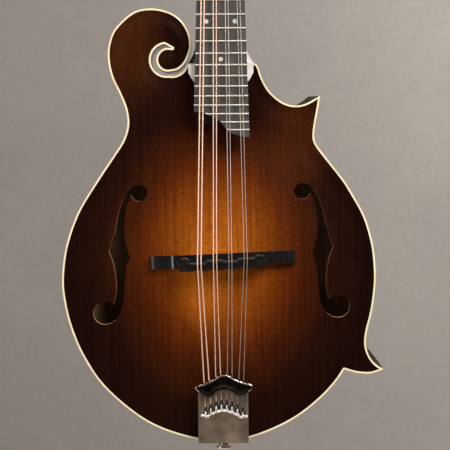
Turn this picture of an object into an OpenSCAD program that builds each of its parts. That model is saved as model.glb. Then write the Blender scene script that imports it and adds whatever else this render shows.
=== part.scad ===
// F-style mandolin: carved top and back, scroll body with two points, eight strings in four pairs.
// Frame: +Z up along the neck, -Y out of the top, origin at the middle of the end pin's strap neck.

/* [Body] */
// Depth of the ribs between top and back plates
rim_depth = 36; // [32:1:40]
// Thickness of the top and back plates at their edge
plate_edge = 4.5; // [4:0.5:5.5]
// Rise of the carved arch above the plate's edge
arch_height = 12; // [9:1:14]
// Thickness of the bent ribs
rib_wall = 2.2; // [1.8:0.2:2.6]
// Width of the ivory-coloured edge binding
binding_width = 1.9; // [1.5:0.1:2.2]

/* [Neck] */
// String length from nut to bridge
scale_length = 358; // [354:1:362]
// Width of the fretboard at the nut
nut_width = 28.6; // [27.5:0.1:30.5]
// Backward pitch of the neck against the body
neck_tilt = 6; // [5.5:0.5:6.5]
// Backward pitch of the headstock against the neck
head_tilt = 14; // [12:1:15]
// Thickness of the fretboard
board_thickness = 5.5; // [5:0.5:6]
// Number of frets
fret_count = 22; // [20:1:22]

/* [Tuners] */
// Distance between neighbouring string posts
post_spacing = 23; // [22.5:0.5:24]
// Teeth on each tuner gear, which is also the reduction of its worm
gear_teeth = 15; // [15:1:15]
// Tooth size: pitch diameter divided by teeth
gear_module = 0.6; // [0.6:0.1:0.6]

/* [Bridge] */
// Half the distance between the two bridge studs
stud_x = 28.7; // [27:0.1:30]
// Turn of the bridge across the strings, for intonation
bridge_skew = 2.2; // [0:0.1:3]

/* [Hidden] */
$fn = 40;
play = 0.02;                      // gap that keeps glued pieces separate solids
front_y = -(rim_depth / 2 + plate_edge);
back_y = -front_y;
rim_y = rim_depth / 2;
joint_z = 297;                    // body edge where the neck meets it
tail_z = 5;                       // body edge at the tail
board_rise = 10.5;                // playing surface above the plate edge, at the joint
neck_y = front_y - board_rise;
nut_z = 206;                      // nut face, along the neck from the joint
nut_length = 4.8;
head_drop = 3.5;                  // headstock face behind the playing surface, at the nut
overlay_thickness = 2.5;
head_thickness = 15.5;            // overlay included
wood = "saddlebrown";
dark_wood = "sienna";
ebony = "dimgray";
ivory = "cornsilk";
nickel = "silver";
brass = "darkgoldenrod";

// ---- curves ----

function blend(a, b, c, d, t) = 0.5 * (2 * b + (c - a) * t + (2 * a - 5 * b + 4 * c - d) * t * t
    + (3 * b - a - 3 * c + d) * t * t * t);
// A smooth run through the points, without its last point.
function smooth(p, n = 4) = [for (i = [0:len(p) - 2]) for (k = [0:n - 1])
    blend(i == 0 ? 2 * p[0] - p[1] : p[i - 1], p[i], p[i + 1],
          i == len(p) - 2 ? 2 * p[i + 1] - p[i] : p[i + 2], k / n)];
function arc(c, r, from, to, n) = [for (k = [0:n]) let (a = from + (to - from) * k / n)
    c + r * [cos(a), sin(a)]];

// ---- body outline, seen from the front: x to the right, z up ----

scroll_eye = [-40.6, 300.4];
scroll_eye_r = 9.1;
scroll_gap = [-41.8, 300.3];
scroll_gap_r = 12.5;
scroll_cusp = [-37.3, 309.2];
cove_tip = [76.5, 272];
lower_tip = [124.6, 59.3];
lower_notch = [94.2, 59.6];
bass_run = [[0, 5], [-25, 6.7], [-59, 19.5], [-90.5, 45], [-108, 70], [-118.6, 95.5], [-123.6, 119], [-124, 136],
    [-120.6, 158], [-111.5, 183], [-96.5, 207.5], [-84, 226], [-76, 238.5], [-72.5, 250.5], [-73.8, 262.5],
    [-78.5, 274.8], [-84.2, 287], [-87, 300], [-86.5, 312], [-81.3, 324.7], [-67.5, 337], [-53.5, 339.9],
    [-39.5, 337], [-30.2, 330.4], [-24.6, 321], [-23.1, 311.5], [-24.6, 304.5], [-28, 297.6], [-33.5, 292.8],
    [-40.6, 291.3]];
shoulder_run = [[-38.3, 287.5], [-33.6, 288.4], [-28.8, 291.6], [-25.5, joint_z]];
cove_run = [[27, joint_z], [28.9, 294], [31.2, 287], [34, 281], [38, 275], [44.6, 269], [50.7, 265.7],
    [57, 264.4], [63.4, 265.2], [68.6, 267.4], cove_tip];
waist_run = [cove_tip, [74.8, 261.4], [73, 252], [71.8, 243.5], [72.2, 237.3], [75.4, 231.3], [84.9, 219],
    [94.6, 206.4], [102.3, 193.9], [109.2, 181.3], [113.8, 168.8], [117.4, 153], [118.9, 134], [118, 118.5],
    [115.6, 103.5], [112.2, 90], [111, 81.5], [111.7, 75.4], [114, 69.3], [118.4, 63.6], lower_tip];
beak_run = [lower_tip, [115.4, 56.4], [108.2, 56.3], [101.5, 57.4], lower_notch];
tail_run = [lower_notch, [87.6, 50], [76, 37.6], [60, 24.6], [42, 14.6], [20, 6.7], [0, 5]];
outline = concat(smooth(bass_run), arc(scroll_eye, scroll_eye_r, -90, -288, 14), [scroll_cusp],
    arc(scroll_gap, scroll_gap_r, 97, 285, 14), smooth(shoulder_run), smooth(cove_run, 3), smooth(waist_run, 3),
    smooth(beak_run, 3), smooth(tail_run));

// ---- carved arch: a dome over the main body, inside its edge ----

arch_centre = [-3, 138];
arch_reach = [105, 104, 118, 122, 116, 103, 107, 110, 117, 118, 115, 108]; // every 30 degrees from +x
function reach_at(angle) = let (n = len(arch_reach), step = 360 / n, a = (angle + 360) % 360,
    i = floor(a / step), t = a / step - i)
    blend(arch_reach[(i + n - 1) % n], arch_reach[i], arch_reach[(i + 1) % n], arch_reach[(i + 2) % n], t);
function arch_profile(s) = s >= 1 ? 0 : pow(1 - pow(s, 2.2), 1.8);
function arch_at(x, z) = let (d = [x, z] - arch_centre)
    arch_height * arch_profile(norm(d) / reach_at(atan2(d[1], d[0])));

arch_rings = [0.14, 0.28, 0.42, 0.54, 0.65, 0.75, 0.84, 0.92, 1, 1.03];
arch_sides = 44;

// A dome shell between two arched skins, with its rim sunk inside the flat border's thickness.
module arch_shell() {
    ring_points = function (level) [for (s = arch_rings) for (k = [0:arch_sides - 1])
        let (a = k * 360 / arch_sides, r = s * reach_at(a), sunk = s > 1 ? 0.05 : 0)
        [arch_centre[0] + r * cos(a), level == 0 ? front_y - arch_height * arch_profile(s) + sunk
            : front_y + plate_edge - arch_height * arch_profile(s) - sunk, arch_centre[1] + r * sin(a)]];
    rings = len(arch_rings);
    count = rings * arch_sides;
    points = concat(ring_points(0), ring_points(1),
        [[arch_centre[0], front_y - arch_height, arch_centre[1]],
         [arch_centre[0], front_y + plate_edge - arch_height, arch_centre[1]]]);
    band = [for (j = [0:rings - 2]) for (k = [0:arch_sides - 1]) let (n = (k + 1) % arch_sides)
        [j * arch_sides + k, j * arch_sides + n, (j + 1) * arch_sides + n, (j + 1) * arch_sides + k]];
    outer = concat([for (q = band) [q[0], q[1], q[2]]], [for (q = band) [q[0], q[2], q[3]]],
        [for (k = [0:arch_sides - 1]) [2 * count, (k + 1) % arch_sides, k]]);
    inner = concat([for (q = band) [q[0] + count, q[2] + count, q[1] + count]],
        [for (q = band) [q[0] + count, q[3] + count, q[2] + count]],
        [for (k = [0:arch_sides - 1]) [2 * count + 1, k + count, (k + 1) % arch_sides + count]]);
    last = (rings - 1) * arch_sides;
    edge = [for (k = [0:arch_sides - 1]) let (n = (k + 1) % arch_sides)
        each [[last + k, last + n, last + n + count], [last + k, last + n + count, last + k + count]]];
    polyhedron(points = points, faces = concat(outer, inner, edge));
}

arch_foot = [for (k = [0:arch_sides - 1]) let (a = k * 360 / arch_sides) arch_centre + reach_at(a) * [cos(a), sin(a)]];

// ---- placing ----

// A flat shape in x and z, given thickness from y0 to y1.
module slab(y0, y1) {
    translate([0, y1, 0]) rotate([90, 0, 0]) linear_extrude(y1 - y0) children();
}
module on_neck() {
    translate([0, neck_y, joint_z]) rotate([-neck_tilt, 0, 0]) children();
}
module on_head() {
    on_neck() translate([0, head_drop, nut_z + nut_length]) rotate([-head_tilt, 0, 0]) children();
}
function turned(p, tilt) = [p[0], p[1] * cos(tilt) + p[2] * sin(tilt), p[2] * cos(tilt) - p[1] * sin(tilt)];
function neck_point(p) = [0, neck_y, joint_z] + turned(p, neck_tilt);
function head_point(p) = neck_point([0, head_drop, nut_z + nut_length] + turned(p, head_tilt));

// A round wire that climbs through the points.
module wire(stops, r) {
    sides = 10;
    points = [for (p = stops) for (k = [0:sides - 1]) p + r * [cos(k * 360 / sides), sin(k * 360 / sides), 0]];
    faces = [for (j = [0:len(stops) - 2]) for (k = [0:sides - 1]) let (n = (k + 1) % sides, a = j * sides)
        each [[a + k, a + sides + n, a + n], [a + k, a + sides + k, a + sides + n]]];
    polyhedron(points = points, faces = concat(faces, [[for (k = [0:sides - 1]) k]],
        [[for (k = [sides - 1:-1:0]) (len(stops) - 1) * sides + k]]));
}

// ---- body pieces ----

module inside(gap) {
    offset(delta = -gap) polygon(outline);
}

// f-shaped sound hole on the bass side: round upper eye, two nicks, larger lower lobe.
f_eye = [-64, 197.7];
f_eye_r = 6.4;
f_lobe = [-91.5, 104.8];
f_lobe_r = 9;
f_outer_nick = [-87.8, 153.2];
f_inner_nick = [-71.2, 147.2];
f_hole = concat(arc(f_eye, f_eye_r, 193, 460, 16),
    smooth([[-68, 203.4], [-71.5, 201], [-77, 191.5], [-80.7, 180], [-83.2, 167.5], f_outer_nick]),
    smooth([f_outer_nick, [-84.5, 144], [-82.5, 133], [-82.2, 121], [-84.6, 110.5]]),
    arc(f_lobe, f_lobe_r, 42, 290, 16),
    smooth([[-86.5, 96.7], [-81.5, 101], [-78, 108.5], [-76.3, 118], [-75.5, 130], [-74, 141], f_inner_nick], 3),
    smooth([f_inner_nick, [-73.7, 156], [-75.5, 166], [-75.3, 177.5], [-73.4, 188.5], [-70.4, 195.6]], 3));
treble_f_shift = -1.7;            // the treble hole sits a little nearer the middle
treble_f_length = 0.966;          // and is a little shorter
treble_f_z = 7.5;

module sound_holes() {
    polygon(f_hole);
    polygon([for (p = f_hole) [treble_f_shift - p[0], treble_f_z + p[1] * treble_f_length]]);
}

module top_plate() {
    color(dark_wood) difference() {
        union() {
            slab(front_y, -rim_y) difference() {
                inside(binding_width + play);
                polygon(arch_foot);
            }
            arch_shell();
        }
        slab(front_y - arch_height - 2, -rim_y + 2) sound_holes();
    }
}

module back_plate() {
    color(wood) union() {
        slab(rim_y, back_y) difference() {
            polygon(outline);
            polygon(arch_foot);
        }
        mirror([0, 1, 0]) arch_shell();
    }
}

module rib_ring(y0, y1, outer, inner) {
    slab(y0, y1) difference() {
        inside(outer);
        inside(inner);
    }
}

// Where each rib lies, as an area in x and z.
rib_areas = [
    [[-play, -20], [-play, 30], [-25.6, 280], [-25.6, joint_z + 0.1], [-22, joint_z + 12], [-10, 360], [-150, 360],
     [-150, -20]],
    [[27.1, 290], [27.1, 330], [76.5, 330], [76.5, 272.02], [60, 250], [27.1, 270]],
    [[60, 250 - play], [76.55, 272], [90, 272], [160, 200], [160, 59.32], [124.6, 59.32], [112, 62], [60, 90]],
    [[play, -20], [play, 30], [60, 90 - play], [112, 62 - play], [124.6, 59.28], [160, 59.28], [160, -20]]];

module rib(i) {
    color(wood) intersection() {
        difference() {
            rib_ring(-rim_y + play, rim_y - play, 0, rib_wall);
            translate([0, 0, tail_z - 2]) cylinder(h = 8, r = pin_hole_r);
        }
        slab(-rim_y - 1, rim_y + 1) polygon(rib_areas[i]);
    }
}

lining_size = [4.5, 6];           // depth from the rib, height along it
module linings() {
    color(wood) for (side = [-1, 1]) intersection() {
        y_out = rim_y - play;
        rib_ring(side < 0 ? -y_out : y_out - lining_size[1], side < 0 ? lining_size[1] - y_out : y_out,
            rib_wall + play, rib_wall + lining_size[0]);
        slab(-rim_y, rim_y) difference() {
            polygon([[-140, 28], [130, 28], [130, 248], [60, 248], [20, 252], [-140, 252]]);
            point_block_areas(1);
        }
    }
}

module head_block() {
    color(wood) slab(-rim_y + play, rim_y - play) union() {
        intersection() {
            inside(rib_wall + play);
            polygon([[-90, 345], [-90, 272], [-60, 266], [-40, 256], [24, 256], [24, 296], [-10, 345]]);
        }
        translate([-23, 285]) square([46, joint_z - 285 - play]);
    }
}

pin_hole_r = 3.2;
module tail_block() {
    color(wood) difference() {
        slab(-rim_y + play, rim_y - play) intersection() {
            inside(rib_wall + play);
            translate([-26, 0]) square([52, 24]);
        }
        translate([0, 0, tail_z - 2]) cylinder(h = 24, r = pin_hole_r);
    }
}

module point_block_areas(grow) {
    translate([64, 257]) circle(r = 16 + grow);
    translate([110, 66]) circle(r = 15 + grow);
}
module point_blocks() {
    color(wood) slab(-rim_y + play, rim_y - play) intersection() {
        inside(rib_wall + play);
        point_block_areas(0);
    }
}

// A brace under the top, from one point to another, fitted to the arch.
module tone_bar(from, to) {
    steps = 10;
    width = 6;
    deep = 7;
    along = to - from;
    gap = 0.35;
    edge = [for (k = [0:steps]) let (p = from + along * k / steps)
        [norm(along) * k / steps, front_y + plate_edge + gap - arch_at(p[0], p[1])]];
    low = [for (k = [steps:-1:0]) let (s = k / steps) edge[k] + [0, deep * (0.25 + 0.75 * sin(180 * s))]];
    translate([from[0], 0, from[1]]) rotate([0, atan2(along[0], along[1]), 0])
        translate([-width / 2, 0, 0]) rotate([0, 90, 0]) rotate([0, 0, 90])
        mirror([1, 0, 0]) rotate([0, 0, 90]) linear_extrude(width) polygon(concat(edge, low));
}
module tone_bars() {
    color(wood) {
        tone_bar([-32, 62], [-20, 226]);
        tone_bar([36, 62], [20, 226]);
    }
}

module top_binding() {
    color(ivory) rib_ring(front_y, -rim_y, 0, binding_width);
}

// Hard caps on the neck side of the two points, under the binding.
module point_protectors() {
    color(ebony) slab(-rim_y + play, rim_y - play) difference() {
        union() {
            polygon([[76.3, 271.8], [67.6, 271.4], [63.2, 267.9], [58.5, 265.2], [60, 262], [74, 266]]);
            polygon([[124.3, 59.9], [120.8, 65.3], [116.4, 70.9], [111.8, 76], [109, 72], [118, 60]]);
        }
        offset(delta = play) polygon(outline);
    }
}

// ---- neck, fretboard and headstock ----

function board_half(z) = nut_width / 2 + 0.027 * (nut_z - z);
function fret_z(n) = nut_z - scale_length * (1 - pow(2, -n / 12));
board_tail = [[21.6, -57.5], [14.5, -56], [8.5, -54], [5.5, -52], [2.5, -49], [-0.5, -45], [-5, -42], [-12, -39],
    [-15, -37.7]];

module board_shape() {
    polygon(concat([[-board_half(nut_z), nut_z], [board_half(nut_z), nut_z]], smooth(board_tail),
        [[-15, -37.5], [-board_half(-37.5), -37.5]]));
}

// Cross sections of the neck: along, half width of the flat, half width of the flare, drop of the flare, depth.
neck_sections = [[210.6, 15, 15, 1, 13.5], [nut_z, 14.3, 14.3, 1, 13.5], [150, 15.8, 15.8, 1, 14.5],
    [90, 17.4, 17.4, 1, 15.5], [50, 18.5, 18.5, 1, 17], [36, 18.9, 18.9, 1, 19], [26, 19.1, 19.1, 1.2, 22.5],
    [18, 19.3, 19.4, 1.6, 28], [12, 19.4, 20, 2.4, 35], [8, 19.5, 21.3, 3.2, 41], [4, 19.6, 23.6, 4.2, 46],
    [0.5, 19.7, 26, 5, 49.5], [-8, 19.9, 26, 5, 49.8]];
module neck_shaft() {
    half_steps = 8;
    sections = len(neck_sections);
    round = 2 * half_steps + 3;
    half_ring = function (s) concat([[s[1], 0]], [for (k = [0:half_steps]) let (a = 90 * k / half_steps)
        [s[2] * pow(cos(a), 0.8), s[3] + (s[4] - s[3]) * pow(sin(a), 0.9)]]);
    ring = function (s) let (h = half_ring(s)) concat(h, [for (k = [len(h) - 2:-1:0]) [-h[k][0], h[k][1]]]);
    points = [for (s = neck_sections) for (p = ring(s)) [p[0], board_thickness + p[1], s[0]]];
    sides = [for (j = [0:sections - 2]) for (k = [0:round - 1]) let (n = (k + 1) % round, a = j * round)
        each [[a + k, a + round + n, a + round + k], [a + k, a + n, a + round + n]]];
    polyhedron(points = points, faces = concat(sides, [[for (k = [round - 1:-1:0]) k]],
        [[for (k = [0:round - 1]) (sections - 1) * round + k]]));
}

head_lobe = [-30, 143];
head_outline = concat(smooth([[14.9, -1.5], [16, 6], [22, 17], [33, 27], [38, 38], [37.5, 52], [35.5, 70], [35, 90],
        [37, 110], [41, 124], [49, 140]]),
    smooth([[49, 140], [36, 134.5], [22, 134], [8, 141], [-6, 152], [-18.5, 157.5]]),
    arc(head_lobe, 16.5, 62, 246, 14),
    smooth([[-36.2, 126], [-35.4, 118], [-35.5, 105], [-35, 90], [-35.5, 70], [-37.5, 52], [-38, 38], [-33, 27],
        [-22, 17], [-16, 6], [-14.9, -1.5]]), [[-14.9, -1.5]]);
post_x = 21;
post_r = 3;
bushing_r = 4.2;
bushing_length = 7;
function post_z(i) = 36 + post_spacing * (i % 4);
function post_side(i) = i < 4 ? -1 : 1;

module at_posts() {
    for (i = [0:7]) translate([post_side(i) * post_x, 0, post_z(i)]) rotate([-90, 0, 0]) children();
}

// Shoulder beside the board: across and along.
cheek = [[19.5, -15], [22.6, -11], [25, -6.4], [26.3, -2], [26.6, 0.4]];
rod_y = board_thickness + 5.5;
rod_r = 2.4;
module neck() {
    color(wood) difference() {
        union() {
            difference() {
                on_neck() neck_shaft();
                translate([-60, -60, joint_z - 60 + play]) cube([120, 120, 60]);
            }
            on_head() slab(overlay_thickness, head_thickness) polygon(head_outline);
            intersection() {
                on_neck() slab(board_thickness, 60) union() {
                    square([39, 100], center = true);
                    polygon([for (side = [1, -1]) for (k = [0:4]) let (p = cheek[side > 0 ? k : 4 - k])
                        [side * p[0], p[1]]]);
                }
                riser();
            }
        }
        on_neck() translate([0, rod_y, 8]) cylinder(h = nut_z + 14, r = rod_r + 0.1);
        on_head() translate([-5, 0, 4]) cube([10, 10.3, 18]);
        on_head() at_posts() {
            cylinder(h = bushing_length + 0.1, r = bushing_r + play);
            cylinder(h = 20, r = post_r + 0.4);
        }
    }
}

// Wedge that carries the fretboard over the top plate.
module riser() {
    rotate([0, 90, 0]) rotate([0, 0, 90]) mirror([1, 0, 0]) rotate([0, 0, 90]) translate([0, 0, -25])
        linear_extrude(50) polygon([[joint_z + 2, front_y - 0.01], [joint_z + 2, -60], [252, -60],
            [250, front_y - arch_height * arch_profile(0.9) - 1.5], [262, front_y - 0.6], [266, front_y - play]]);
}

module truss_rod() {
    color(nickel) {
        on_neck() translate([0, rod_y, 10]) cylinder(h = nut_z + 0.5, r = rod_r);
        on_neck() translate([0, rod_y, nut_z + 10]) cylinder(h = 6, r = 3.6, $fn = 6);
    }
}

cover_screws = [[0, 7], [0, 33]];
module truss_rod_cover() {
    color(ebony) on_head() difference() {
        slab(-2, -play) polygon(concat(smooth([[7.5, 2.5], [8.5, 6], [9.5, 14], [7, 24], [4, 31], [0, 37]]),
            smooth([[0, 37], [-4, 31], [-7, 24], [-9.5, 14], [-8.5, 6], [-7.5, 2.5]]), [[-7.5, 2.5]]));
        for (p = cover_screws) translate([p[0], 1, p[1]]) rotate([90, 0, 0]) cylinder(h = 4, r = 0.9);
    }
}

dot_r = 1.75;
dots = [[0, 3], [0, 5], [0, 7], [0, 10], [-11, 12], [11, 12], [0, 15]]; // across, fret
function dot_z(n) = (fret_z(n) + fret_z(n - 1)) / 2;
tang = [0.55, 1.8];               // width and depth of the fret's tang

module fretboard() {
    color(ebony) on_neck() difference() {
        slab(0, board_thickness - play) board_shape();
        for (n = [1:fret_count]) translate([-30, -1, fret_z(n) - tang[0] / 2 - 0.03])
            cube([60, 1 + tang[1] + 0.1, tang[0] + 0.06]);
        for (d = dots) translate([d[0], -1, dot_z(d[1])]) rotate([-90, 0, 0]) cylinder(h = 2.05, r = dot_r + play);
    }
}

fret_width = 1.5;
fret_height = 1;
module frets() {
    color(nickel) on_neck() intersection() {
        slab(-3, 3) board_shape();
        for (n = [1:fret_count]) translate([-30, 0, fret_z(n)]) rotate([90, 0, 90]) linear_extrude(60)
            polygon(concat([for (a = [0:22.5:180]) [-fret_height * sin(a) - play, -fret_width / 2 * cos(a)]],
                [[-play, tang[0] / 2], [tang[1], tang[0] / 2], [tang[1], -tang[0] / 2], [-play, -tang[0] / 2]]));
    }
}

module position_dots() {
    color("white") on_neck() for (d = dots) translate([d[0], 0, dot_z(d[1])]) rotate([-90, 0, 0])
        cylinder(h = 1, r = dot_r);
}

// ---- strings: x across at the nut, the saddle and the tailpiece, and radius ----

nut_x = [-11.7, -9.5, -4.6, -2.4, 2.4, 4.6, 9.5, 11.7];
saddle_x = [-18.8, -16.1, -6.7, -4.2, 5.1, 7.4, 16.7, 19.1];
string_r = [0.52, 0.52, 0.38, 0.38, 0.24, 0.24, 0.2, 0.2];
hook_pitch = 4.1;
hook_x0 = 0.7;
function hook_x(i) = hook_x0 + hook_pitch * (i - 3.5);
function comb_z(x) = 32.5 - 6.3 * pow(abs(x) / 15.5, 1.6);
nut_rise = 1.3;                   // string height above the fretboard at the nut
saddle_rise = 4.1;                // and at the saddle
saddle_top = neck_point([0, -saddle_rise, nut_z - scale_length]);
function saddle_z(x) = saddle_top[2] + tan(bridge_skew) * x;
function nut_end(i) = neck_point([nut_x[i], -nut_rise - string_r[i], nut_z + 1.5]);
function nut_back(i) = neck_point([nut_x[i], -nut_rise - string_r[i] + 0.15, nut_z + nut_length - 0.3]);
// From, to, and how far up the neck the crest lies, one step for each pair of strings.
saddle_steps = [[-25, -12, -1.5], [-12, 0.5, 0.2], [0.5, 12, -0.9], [12, 25, 0.7]];
function saddle_end(i) = [saddle_x[i], saddle_top[1] - string_r[i],
    saddle_z(saddle_x[i]) + saddle_steps[floor(i / 2)][2]];
hook_y = front_y - 7.6;
function hook_end(i) = [hook_x(i), hook_y, comb_z(hook_x(i)) + 1.3 + 1.6 * string_r[i]];
// The outer pair of each side winds on the two posts nearest the nut.
string_post = [0, 1, 2, 3, 7, 6, 5, 4];
wrap_y = -4.4;
function post_end(i) = let (p = string_post[i], side = post_side(p))
    head_point([side * (post_x - post_r - 3 * string_r[i] - 0.13), wrap_y, post_z(p)]);

module string(i) {
    r = string_r[i];
    wire([hook_end(i), saddle_end(i), nut_end(i), nut_back(i), post_end(i)], r);
    // coils on the post, and the loop on its peg
    on_head() translate([post_side(string_post[i]) * post_x, wrap_y, post_z(string_post[i])]) rotate([90, 0, 0])
        ring_of(post_r + 0.08, post_r + 0.08 + 2 * r, 6 * r);
    translate([hook_x(i), hook_y, comb_z(hook_x(i))]) rotate([90, 0, 0]) ring_of(1.25, 1.25 + 1.6 * r, 1.6 * r);
}
module ring_of(inner, outer, h) {
    translate([0, 0, -h / 2]) difference() {
        cylinder(h = h, r = outer);
        translate([0, 0, -1]) cylinder(h = h + 2, r = inner);
    }
}
module strings_wound() {
    color("peru") for (i = [0:3]) string(i);
}
module strings_plain() {
    color(nickel) for (i = [4:7]) string(i);
}

module nut() {
    color(ivory) on_neck() difference() {
        translate([-nut_width / 2, -2.2, nut_z + play]) cube([nut_width, board_thickness + 2.2 - play, nut_length - 0.6]);
        for (i = [0:7]) translate([nut_x[i], -nut_rise - string_r[i], nut_z - 1]) {
            cylinder(h = 8, r = string_r[i] + 0.06);
            translate([-string_r[i] - 0.06, -3, 0]) cube([2 * string_r[i] + 0.12, 3, 8]);
        }
    }
}

module headstock_overlay() {
    color(ebony) on_head() difference() {
        slab(0, overlay_thickness - play) intersection() {
            polygon(head_outline);
            translate([-60, 0.3]) square([120, 200]);
        }
        translate([-5, -1, 4]) cube([10, 9, 18]);
        at_posts() translate([0, 0, -1]) cylinder(h = 9, r = bushing_r + play);
        for (p = cover_screws) translate([p[0], 5, p[1]]) rotate([90, 0, 0]) cylinder(h = 8, r = 0.75);
    }
}

// ---- bridge ----

bridge_foot_y = front_y - arch_height;
base_half = 56;
base_depth = 10;
base_top_y = bridge_foot_y - 7;
stud_r = 1.9;
stud_z = -1.6;                    // towards the tail from the middle of the base
wheel_r = 4.8;
wheel_y = [base_top_y - 3.4, base_top_y - 1.2];
saddle_low_y = wheel_y[0] - 0.03;
saddle_half = 33;
saddle_reach = [-7, 2.2];       // towards the tail and towards the neck
saddle_hollows = [-19, -8.5, 3, 13, 23];

module at_bridge() {
    translate([0, 0, saddle_top[2]]) rotate([0, -bridge_skew, 0]) children();
}

module bridge_base() {
    steps = 14;
    foot = [for (k = [0:steps]) let (x = base_half * (2 * k / steps - 1))
        [x, front_y - 0.08 - arch_at(x, saddle_top[2] + x * tan(bridge_skew))]];
    color(ebony) at_bridge() difference() {
        translate([0, 0, -base_depth / 2]) linear_extrude(base_depth) polygon(concat(foot,
            smooth([[base_half, bridge_foot_y + 0.2], [50, bridge_foot_y - 1.6], [40, bridge_foot_y - 2.6],
                [36.5, bridge_foot_y - 4.4], [35, base_top_y]], 3), [[35, base_top_y], [-35, base_top_y]],
            smooth([[-35, base_top_y], [-36.5, bridge_foot_y - 4.4], [-40, bridge_foot_y - 2.6],
                [-50, bridge_foot_y - 1.6], [-base_half, bridge_foot_y + 0.2]], 3)));
        for (x = [-stud_x, stud_x]) translate([x, base_top_y + 5, stud_z]) rotate([90, 0, 0])
            cylinder(h = 8, r = stud_r + play);
    }
}

module bridge_studs() {
    color(nickel) at_bridge() for (x = [-stud_x, stud_x]) translate([x, base_top_y + 5 - play, stud_z])
        rotate([90, 0, 0]) cylinder(h = 12, r = stud_r);
}

module thumbwheel(side) {
    color(brass) at_bridge() translate([side * stud_x, wheel_y[1], stud_z]) rotate([90, 0, 0]) difference() {
        cylinder(h = wheel_y[1] - wheel_y[0], r = wheel_r);
        translate([0, 0, -1]) cylinder(h = 5, r = stud_r + 0.06);
        for (a = [0:20:340]) rotate([0, 0, a]) translate([wheel_r + 0.35, 0, -1]) cylinder(h = 5, r = 0.6);
    }
}

module bridge_saddle() {
    y_top = saddle_top[1];
    color(ebony) at_bridge() difference() {
        union() {
            translate([0, 0, saddle_reach[0]]) linear_extrude(saddle_reach[1] - saddle_reach[0])
                polygon([[-saddle_half, saddle_low_y],
                [-saddle_half, saddle_low_y - 4.6], [-28, saddle_low_y - 5.6], [-23, y_top + 1.6],
                [23, y_top + 1.6], [28, saddle_low_y - 5.6], [saddle_half, saddle_low_y - 4.6],
                [saddle_half, saddle_low_y]]);
            for (s = saddle_steps) hull() {
                translate([s[0], y_top + 1.17, s[2]]) rotate([0, 90, 0]) cylinder(h = s[1] - s[0], r = 1.1);
                translate([s[0], y_top + 2.2, s[2] - 1.1]) cube([s[1] - s[0], 0.1, 2.2]);
            }
        }
        for (x = [-stud_x, stud_x]) translate([x, saddle_low_y + 1, stud_z]) rotate([90, 0, 0])
            cylinder(h = 5.6, r = stud_r + 0.15);
        // hollows along the tail side
        for (x = saddle_hollows) translate([x, 0, saddle_reach[0] - 4.9]) rotate([90, 0, 0]) cylinder(h = 80, r = 5.8);
    }
}

// ---- tailpiece ----

plate_y = [front_y - 8.6, front_y - 6.2];
flange = 1.1;
tail_half = 19.4;
crown_y = [front_y - 17, front_y - 13.2];
tail_screws = [[-11, -7], [11, -7], [0, 11]];
pin_neck_r = 3.6;

module tail_window() {
    for (i = [0:7]) let (x = hook_x(i)) {
        translate([x, comb_z(x)]) circle(r = 2.1);
        translate([x - 0.85, comb_z(x)]) square([1.7, 5.4]);
    }
}

module tailpiece() {
    color(nickel) difference() {
        union() {
            slab(plate_y[0], plate_y[1]) difference() {
                translate([-tail_half, tail_z - flange - play]) square([2 * tail_half, 45]);
                tail_window();
            }
            // ledge behind the window, with one peg for each string's loop
            slab(plate_y[1] - 0.7, plate_y[1]) translate([-17, 20]) square([34, 20]);
            for (i = [0:7]) translate([hook_x(i), 0, comb_z(hook_x(i))])
                slab(plate_y[0] - 0.4, plate_y[1] - 0.3) circle(r = 1.1);
            // flange down the tail end
            translate([-tail_half, plate_y[1] - 1, tail_z - flange - play])
                cube([2 * tail_half, 16 - plate_y[1] + 1, flange]);
            // crown over the strings and its two feet
            slab(crown_y[0], crown_y[1]) polygon(concat(
                smooth([[-21.6, 46.3], [-21.9, 48.6], [-19.8, 50.2], [-14.5, 51.4], [-8.4, 54.4], [-3.4, 57.3],
                    [0.8, 58.6]]),
                smooth([[0.8, 58.6], [4.8, 57.4], [9.4, 54.8], [15.2, 52.4], [21, 51], [23.2, 48.8], [22.6, 46.2]]),
                smooth([[22.6, 46.2], [20.4, 44.8], [17.4, 43.2], [13.8, 41.8], [10.4, 42.4], [6.4, 44.8], [0.8, 46.4],
                    [-4.6, 45], [-8.2, 42], [-11.4, 40.9], [-15.8, 42.4], [-19, 44.4], [-21.6, 46.3]])));
            for (x = [-tail_half, tail_half - 2.2]) translate([x, crown_y[1] - 1, 37.6])
                cube([2.2, plate_y[1] - crown_y[1] + 1, 9.4]);
        }
        for (i = [0:7]) let (a = hook_end(i), b = saddle_end(i))
            wire([a - 0.01 * (b - a), a + 0.12 * (b - a)], string_r[i] + 0.2);
        translate([0, 0, tail_z - 4]) cylinder(h = 6, r = pin_hole_r);
        for (s = tail_screws) translate([s[0], s[1], tail_z - 4]) cylinder(h = 6, r = 1.5);
    }
}

module tailpiece_screws() {
    color(nickel) for (s = tail_screws) translate([s[0], s[1], tail_z - flange]) {
        difference() {
            translate([0, 0, -1.2]) cylinder(h = 1.15, r = 2.6);
            translate([-3, -0.35, -2]) cube([6, 0.7, 1.3]);
        }
        translate([0, 0, -0.2]) cylinder(h = flange + 0.15, r = 1.3);
    }
}

module end_pin() {
    color(ebony) rotate_extrude() polygon([[0, 20], [pin_hole_r - 0.05, 20], [pin_hole_r - 0.05, tail_z - flange - 0.1],
        [6.2, tail_z - flange - 0.1], [6.2, 2.4], [pin_neck_r, 2.2], [pin_neck_r, -2.2], [6, -2.8], [6, -4.2],
        [4.6, -5.2], [0, -5.6]]);
}

// ---- tuners ----

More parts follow.
